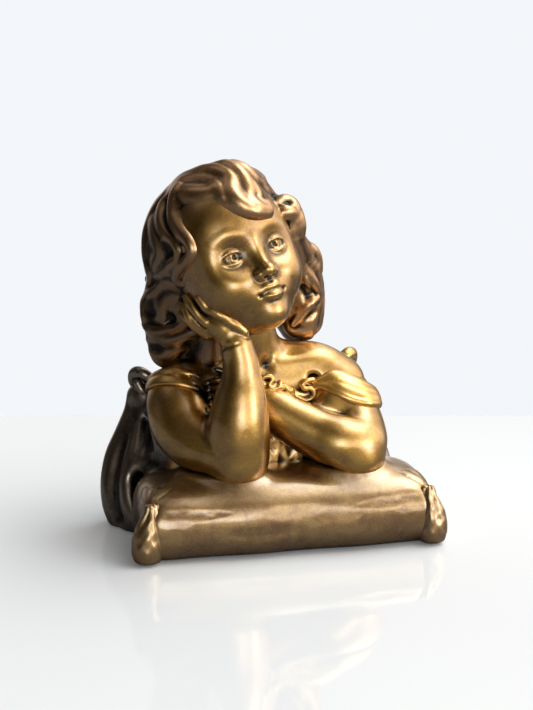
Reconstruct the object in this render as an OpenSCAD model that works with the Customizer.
// Cherub figurine: a child's bust that leans on a cushion, head in hand.
// It is a set of hollow and solid resin castings, pegged and glued together, on a base plate and felt.
// X runs to the figure's left, Y to its back and Z up. The origin is on the table, under the cushion's middle.

/* [Figure] */
// Height from the table to the top of the hair
figure_h = 177; // [150:1:220]
// Height of the head from chin to crown, without hair
head_h = 77; // [74:0.5:79]
// Turn of the face towards the figure's left
head_yaw = 16; // [12:0.5:20]
// Lift of the face above level
head_pitch = 18; // [14:0.5:22]
// Lean of the head towards the hand
head_roll = 12; // [9:0.5:15]

/* [Cushion] */
// Width of the cushion between its corner ties
cushion_w = 132; // [128:1:136]
// Depth of the cushion from front to back
cushion_d = 62; // [58:1:64]
// Height of the cushion's crown
cushion_h = 34; // [33:0.5:36]

/* [Casting] */
// Wall of the hollow castings
wall = 4; // [3:0.5:5]
// Diameter of the locating pegs
peg_d = 6; // [5:0.5:7]
// Gap around a peg in its socket
peg_gap = 0.1; // [0.05:0.05:0.2]
// Thickness of the plate that closes the base
plate_t = 2.5; // [2:0.5:3]
// Thickness of the felt under the base
felt_t = 1.5; // [1:0.5:2]
// How far the castings stand off the table, so that only the felt touches it
lift = 0.4; // [0.2:0.1:0.6]

/* [Hidden] */

// Every size and place below is for a figure 177 mm tall, and k makes it the size asked for.
k = figure_h / 177;
rim = lift / k;
felt_top = felt_t / k;
round_fn = 16;
peg_fn = 32;

skin = "darkgoldenrod";
cloth = "goldenrod";
dark = "sienna";

// Head: its middle, and the axes of a head that looks along -Y, before it is leaned, lifted and turned
head_mid = [-20.5, -3, 132.5];

// Torso and shoulders
right_shoulder = [-43, 5, 66];
left_shoulder = [32, 6, 65];
neck_foot = [-5, 7, 80];
neck_top = [-12, 3, 101];
neck_r = 12.6;

// Limbs: each is a list of [point, radius] from the shoulder to the wrist
right_arm_line = [
    [right_shoulder, 15], [[-45, -1, 60], 15], [[-43, -9, 51.5], 14.6], [[-35.5, -19, 45], 13.8],
    [[-24, -27, 44], 13.2], [[-21.5, -28.5, 51], 13.6], [[-21, -29, 60], 12.9], [[-20.5, -28.5, 70], 11.2],
    [[-20.3, -27, 79], 9.3], [[-20.8, -26, 88], 7.9], [[-22, -25, 95], 7]
];
left_arm_line = [
    [left_shoulder, 14.4], [[35.5, 0, 60], 14], [[37.5, -8, 52.5], 13.8], [[38.3, -17, 46.5], 13.4],
    [[36.5, -24, 44], 12.8], [[27.5, -25, 46], 13], [[18, -21, 50], 12], [[8, -16, 54.5], 10.8],
    [[-2, -11, 59.5], 9.2], [[-12, -7.5, 64], 7.4]
];
// Hands: the palm runs from the wrist to the knuckles, and each finger is a line of points
right_palm = [[[-22, -25, 95], 7], [[-27, -22.5, 102], 7.4], [[-32, -19, 108], 6]];
right_fingers = [
    [[-31.5, -20.5, 108], [-36, -15.5, 116], [-40, -8, 119]],
    [[-33, -18, 108], [-39, -13, 114.5], [-43, -6, 117]],
    [[-34, -16, 106.5], [-41, -11, 111.5], [-45, -4, 114]],
    [[-34.5, -14, 104], [-41.5, -9, 107.5], [-46, -3, 110]]
];
left_palm = [[[-12, -7.5, 64], 7.4], [[-19, -5.5, 67], 6.6], [[-23, -5, 69], 5.6]];
left_fingers = [
    [[-23, -5, 74], [-29, -5.5, 75.5], [-32, -7.5, 75]],
    [[-24, -5, 70.5], [-29.5, -6, 71.5], [-32.5, -8.5, 71]],
    [[-24, -5, 67], [-29.5, -6.5, 67.5], [-32.5, -9.5, 67]],
    [[-23, -5, 63.5], [-28, -7, 64], [-31, -10, 63.5]]
];
finger_r = 2.5;

// Hair: each mass is a list of [point, radius] that is joined end to end
hair_masses = [
    // back
    [[[-22, 18, 150], 24], [[-17, 24, 132], 24], [[-14, 27, 112], 20], [[-13, 28, 97], 15]],
    [[[-34, 18, 148], 18], [[-37, 23, 128], 19], [[-37, 24, 108], 17], [[-35, 23, 93], 12]],
    [[[-5, 16, 148], 18], [[4, 20, 132], 17], [[9, 25, 112], 15], [[10, 26, 97], 11]],
    // wave that rolls from the parting over the forehead, and the wave behind it
    [[[-46, 7, 156], 6.5], [[-37, 3, 161], 9.5], [[-26, -1, 162], 11.5], [[-17, -7, 160], 11],
        [[-12, -14, 156], 8], [[-9, -20, 152.5], 4]],
    [[[-30, 14, 164], 12], [[-17, 9, 165], 12], [[-6, 5, 159], 11], [[1, 4, 151], 9]],
    // lock that frames the leaning cheek
    [[[-46, 8, 155], 6.5], [[-45, -3, 152], 6.5], [[-44, -9, 147], 6], [[-40.5, -15, 142], 5.4],
        [[-38.5, -18, 137], 5], [[-41, -14, 131], 5], [[-43, -10, 125], 5], [[-40, -12, 120], 4]],
    // side masses beside the hand
    [[[-46, 14, 152], 9], [[-48, 12, 142], 10], [[-48, 12, 132], 10], [[-47, 11, 122], 9.5]],
    [[[-47, 10, 121], 9], [[-52, 9, 111], 9.5], [[-50, 9, 102], 11], [[-49.5, 9, 93], 10.5], [[-48, 9, 84], 8]],
    [[[-43, 2, 120], 6.5], [[-45, 0, 111], 6.5], [[-43, 2, 102], 7.5], [[-42, 3, 93], 7.5], [[-42, 5, 84], 6]],
    // curls at the other temple, and the lock that falls from them behind the cheek
    [[[0, 2, 152], 6], [[5, -1, 156], 4.5], [[9.5, -2, 154.5], 4.2], [[8.5, -3, 150.5], 3.8], [[3, -2, 150], 4.5]],
    [[[6, 1, 149], 6], [[11, 0, 146], 6], [[12, 3, 139], 6.5], [[15, 9, 130], 7.5], [[19.5, 17, 120], 8.5],
        [[21.5, 23, 110], 8.8], [[20.5, 25, 99], 8.6], [[16.5, 24, 92], 6.5]]
];

// Gown
gown_mid = [-7, 15];
gown_top = 72;
gown_wave = 0.035;
right_knot = [-57, 29, 67];
left_knot = [43.5, 31, 70];
knot_r = 5.6;
bodice_t = 1.6;
neckline_z = 66;
ruffle_line = [
    [-27, -1, 79], [-22, -4, 75], [-17, -6.5, 77], [-12, -8, 72], [-7, -8.5, 74], [-2, -9, 68],
    [3, -9, 70], [8, -8.5, 64], [13, -8, 67], [18, -6, 62], [22, -4, 65]
];
ruffle_r = 2.8;
sleeve_w = 11;
sleeve_t = 1.8;

// Corner tufts of the cushion
tuft_x = cushion_w / 2;
tuft_y = -43.5;
tuft_tie = 24.5;
// Front and back of the cushion
cushion_front = -50;
cushion_back = cushion_front + cushion_d;

// Blunt closed skin through a list of rings that all have the same number of points
module skin_through(rings) {
    n = len(rings[0]);
    m = len(rings);
    points = [for (ring = rings) for (p = ring) p];
    sides = [for (i = [0 : m - 2]) for (j = [0 : n - 1])
        [i * n + j, (i + 1) * n + j, (i + 1) * n + (j + 1) % n, i * n + (j + 1) % n]];
    polyhedron(points, concat([[for (j = [0 : n - 1]) j]], sides, [[for (j = [n - 1 : -1 : 0]) (m - 1) * n + j]]));
}

function signed_power(v, e) = sign(v) * pow(abs(v), e);
function squircle(t, a, b, n) = [a * signed_power(cos(t), 2 / n), b * signed_power(sin(t), 2 / n)];
function mix(a, b, t) = a + (b - a) * t;

module ball(p, r, squash = [1, 1, 1]) translate(p) scale(squash)
    sphere(r, $fn = r < 3.3 ? 10 : r < 7 ? 12 : round_fn);

// Round limb through a list of [point, radius]
module limb(line) {
    for (i = [0 : len(line) - 2]) hull() {
        ball(line[i][0], line[i][1]);
        ball(line[i + 1][0], line[i + 1][1]);
    }
}

module finger(points) limb([for (i = [0 : len(points) - 1]) [points[i], finger_r * (1 - 0.08 * i)]]);

module at_head() {
    translate(head_mid) rotate([0, 0, head_yaw]) rotate([-head_pitch, 0, 0]) rotate([0, -head_roll, 0])
        scale(head_h / 77) children();
}

// The head in its own axes: face along -Y, crown up, and its middle at the origin
module head_form() {
    at_head() {
        // skull, then the face from brow to chin with its cheeks
        hull() {
            ball([0, 5, 9], 29.5, [0.98, 1.08, 1]);
            ball([0, 1, 2], 27.5, [1, 1.02, 1]);
        }
        hull() {
            ball([0, -3, 2], 26.5, [1, 1.02, 1]);
            for (side = [-1, 1]) ball([side * 11.5, -15, -13.5], 12.4);
            ball([0, -20, -30], 7.5);
        }
        for (side = [-1, 1]) ball([side * 11, -23.4, -3], 4.4);
        // nose, lips and chin
        hull() {
            ball([0, -26.5, -2], 2.2);
            ball([0, -31, -11.5], 2.8);
            for (side = [-1, 1]) ball([side * 3.6, -28.2, -12.6], 2.2);
        }
        hull() for (side = [-1, 1]) ball([side * 3.2, -27.4, -19.6], 2.4);
        hull() for (side = [-1, 1]) ball([side * 2.6, -26.8, -22.8], 2.4);
        ball([0, -22.5, -31], 6.2);
    }
}

module neck_form() hull() {
    ball(neck_foot, neck_r + 1.5);
    ball(neck_top, neck_r);
}

module chest_form() {
    hull() {
        ball([-6, 16, 24], 25, [1.65, 0.9, 1]);
        ball([-6, 11, 60], 19, [1.75, 0.85, 1]);
    }
    for (shoulder = [right_shoulder, left_shoulder]) hull() {
        ball(shoulder + [0, 1, 0], 12.6);
        ball([-6, 10, 62], 16, [1.4, 0.95, 1]);
        ball(neck_foot, 11);
    }
}

// The torso is cut off flat just below the top of the hollow in the gown
torso_foot = 21;
module torso_form() {
    difference() {
        chest_form();
        translate([-100, -100, torso_foot - 100]) cube([200, 200, 100]);
    }
    neck_form();
}

module right_arm_form() {
    limb(right_arm_line);
    limb(right_palm);
    for (f = right_fingers) finger(f);
    finger([[-24, -27, 99], [-26, -28, 107], [-30.5, -25, 114]]);
}

module left_arm_form() {
    limb(left_arm_line);
    limb(left_palm);
    for (f = left_fingers) finger(f);
    finger([[-16, -6, 70], [-21, -7, 75], [-26, -8, 78]]);
}

module hair_form() {
    at_head() hull() {
        ball([0, 9, 9], 31.5, [1, 1.06, 1]);
        ball([0, 15, -4], 28);
    }
    for (mass = hair_masses) limb(mass);
}

// Cushion: squircle sections along X that pinch in towards the corner ties
module cushion_form(inset = 0) {
    stations = 18;
    sides = 24;
    half_w = cushion_w / 2 + 1 - inset;
    rings = [for (i = [0 : stations]) let (
        u = -1 + 2 * i / stations,
        pinch = pow(abs(u), 7),
        front = cushion_front + 1.5 * u * u + 3.5 * pinch + inset,
        back = cushion_back - 6 * u * u - 12 * pinch - inset,
        top = cushion_h * (1 - 0.06 * u * u - 0.22 * pinch) - inset,
        waist = cushion_h * 0.36,
        below = cushion_h * 0.62
    ) [for (j = [0 : sides - 1]) let (
        p = squircle(360 * j / sides, (back - front) / 2, 1, 3)
    ) [half_w * u, (front + back) / 2 + p[0], max(rim, waist + p[1] * (p[1] > 0 ? top - waist : below))]]];
    skin_through(rings);
}

module tuft_form(side) {
    x = side * tuft_x;
    hull() {
        ball([x - side * 0.5, tuft_y + 2, tuft_tie], 2.8);
        ball([x + side, tuft_y, tuft_tie - 9], 5.4);
    }
    hull() {
        ball([x + side, tuft_y, tuft_tie - 9], 5.4);
        ball([x + side * 1.6, tuft_y, rim + 6.4], 6.4);
    }
}

// Gown: fluted rings that spread from the knots down to the base
module gown_form(inset = 0) {
    stations = 12;
    sides = 44;
    rings = [for (i = [0 : stations]) let (
        t = i / stations,
        z = mix(rim, gown_top, t),
        half_w = mix(75, 45, pow(t, 1.35)) - inset - 5 * pow(1 - t, 8),
        half_d = mix(36, 21, pow(t, 1.2)) - inset - 4 * pow(1 - t, 8)
    ) [for (j = [0 : sides - 1]) let (
        a = 360 * j / sides,
        p = squircle(a, half_w, half_d, 2.3),
        fold = inset > 0 ? 1 : 1 + gown_wave * cos(11 * a) * (1 - 0.6 * t)
    ) [gown_mid[0] + p[0] * fold, gown_mid[1] + p[1] * fold, z]]];
    skin_through(rings);
}

// Bodice: the chest, let out by the cloth's thickness and cut off at the neckline
module bodice_form() {
    intersection() {
        hull() {
            ball([-6, 16, 24], 25 + bodice_t, [1.65, 0.9, 1]);
            ball([-6, 11, 60], 19 + bodice_t, [1.75, 0.85, 1]);
        }
        translate([-80, -30, rim]) cube([160, 90, neckline_z - rim]);
    }
}

// Gathered cloth: a knot, its loop, and a tail that runs down into the gown
module knot_form(p) {
    side = p[0] < gown_mid[0] ? -1 : 1;
    limb([
        [p + [side, 1, 3.4], knot_r - 1.8], [p, knot_r], [p + [-side, 0, -3], knot_r - 1],
        [p + [-side * 4, -5, -12], knot_r + 0.6]
    ]);
    hull() {
        ball(p + [side * 1.2, -3, -3.4], knot_r - 3);
        ball(p + [side * 1.6, 3, 1.6], knot_r - 3);
    }
}

// A band round the upper arm, square to its line
module sleeve_form(line) {
    d = line[1][0] - line[0][0];
    translate(mix(line[0][0], line[1][0], 0.75)) rotate([0, acos(d[2] / norm(d)), atan2(d[1], d[0])]) hull() {
        translate([0, 0, -sleeve_w / 2 + 2]) cylinder(r = line[0][1] + sleeve_t, h = sleeve_w - 4, $fn = 28);
        translate([0, 0, -sleeve_w / 2]) cylinder(r = line[0][1] + sleeve_t - 1.2, h = sleeve_w, $fn = 28);
    }
}

module ruffle_form() limb([for (p = ruffle_line) [p, ruffle_r]]);

module peg(from, to, extra = 0) {
    d = to - from;
    translate(from) rotate([0, acos(d[2] / norm(d)), atan2(d[1], d[0])])
        cylinder(d = peg_d / k + 2 * extra, h = norm(d), $fn = peg_fn);
}
module neck_peg_form(extra = 0) peg([-9.5, 6, 92], [-13.5, 4.5, 118], extra);
module shoulder_peg_forms(extra = 0) {
    peg([-42, 7, 67], [-44.5, -10, 52.5], extra);
    peg([31.5, 8, 66], [37.5, -10, 53], extra);
}
function socket() = peg_gap / k + 0.05;

// Outline of the base: the cushion in front and the gown behind
module base_outline(inset) {
    offset(delta = -inset) union() {
        translate([-cushion_w / 2 + 5, -42]) square([cushion_w - 10, 44]);
        intersection() {
            translate(gown_mid) scale([1, 0.5]) circle(66, $fn = 64);
            translate([-100, -30]) square([200, 100]);
        }
    }
}

// One pocket from below hollows the cushion and the gown, and the plate and the felt close it
pocket_h = 18;
module pocket() translate([0, 0, rim - 2]) linear_extrude(pocket_h + 2) base_outline(wall);

module cushion() color(cloth) scale(k) difference() {
    cushion_form();
    right_arm_form();
    left_arm_form();
    torso_form();
    tuft_form(-1);
    tuft_form(1);
    pocket();
    translate([-100, 10, -1]) cube([200, 60, 60]);
}

module right_corner_tuft() color(cloth) scale(k) tuft_form(-1);
module left_corner_tuft() color(cloth) scale(k) tuft_form(1);

module gown() color(dark) scale(k) difference() {
    union() {
        gown_form();
        bodice_form();
    }
    torso_form();
    right_arm_form();
    left_arm_form();
    intersection() {
        cushion_form();
        translate([-100, -100, -1]) cube([200, 110, 60]);
    }
    pocket();
}

module torso() color(skin) scale(k) difference() {
    torso_form();
    head_form();
    neck_peg_form(socket());
    shoulder_peg_forms(socket());
}

module head() color(skin) scale(k) difference() {
    head_form();
    neck_peg_form(socket());
}

module hair() color(dark) scale(k) difference() {
    hair_form();
    head_form();
    torso_form();
    right_arm_form();
    neck_peg_form(socket());
}

module right_arm() color(skin) scale(k) difference() {
    right_arm_form();
    head_form();
    torso_form();
    shoulder_peg_forms(socket());
}

module left_arm() color(skin) scale(k) difference() {
    left_arm_form();
    torso_form();
    right_arm_form();
    shoulder_peg_forms(socket());
}

module right_sleeve() color(cloth) scale(k) difference() {
    sleeve_form(right_arm_line);
    right_arm_form();
    left_arm_form();
    torso_form();
    gown_form();
    hair_form();
}

module left_sleeve() color(cloth) scale(k) difference() {
    sleeve_form(left_arm_line);
    left_arm_form();
    torso_form();
    gown_form();
}

module neckline_ruffle() color(cloth) scale(k) difference() {
    ruffle_form();
    torso_form();
    bodice_form();
    gown_form();
    left_arm_form();
    right_arm_form();
    sleeve_form(left_arm_line);
}

module right_shoulder_knot() color(dark) scale(k) difference() {
    knot_form(right_knot);
    gown_form();
    torso_form();
    right_arm_form();
}

module left_shoulder_knot() color(dark) scale(k) difference() {
    knot_form(left_knot);
    gown_form();
    torso_form();
    left_arm_form();
}

module neck_peg() color("gray") scale(k) neck_peg_form();
module shoulder_pegs() color("gray") scale(k) shoulder_peg_forms();

module base_plate() color("gray") scale(k) translate([0, 0, felt_top]) linear_extrude(plate_t / k)
    base_outline(wall + 0.3);
module felt_base() color("darkolivegreen") scale(k) linear_extrude(felt_top) base_outline(wall + 0.3);

cushion();
right_corner_tuft();
left_corner_tuft();
gown();
torso();
head();
hair();
right_arm();
left_arm();
right_sleeve();
left_sleeve();
neckline_ruffle();
right_shoulder_knot();
left_shoulder_knot();
neck_peg();
shoulder_pegs();
base_plate();
felt_base();
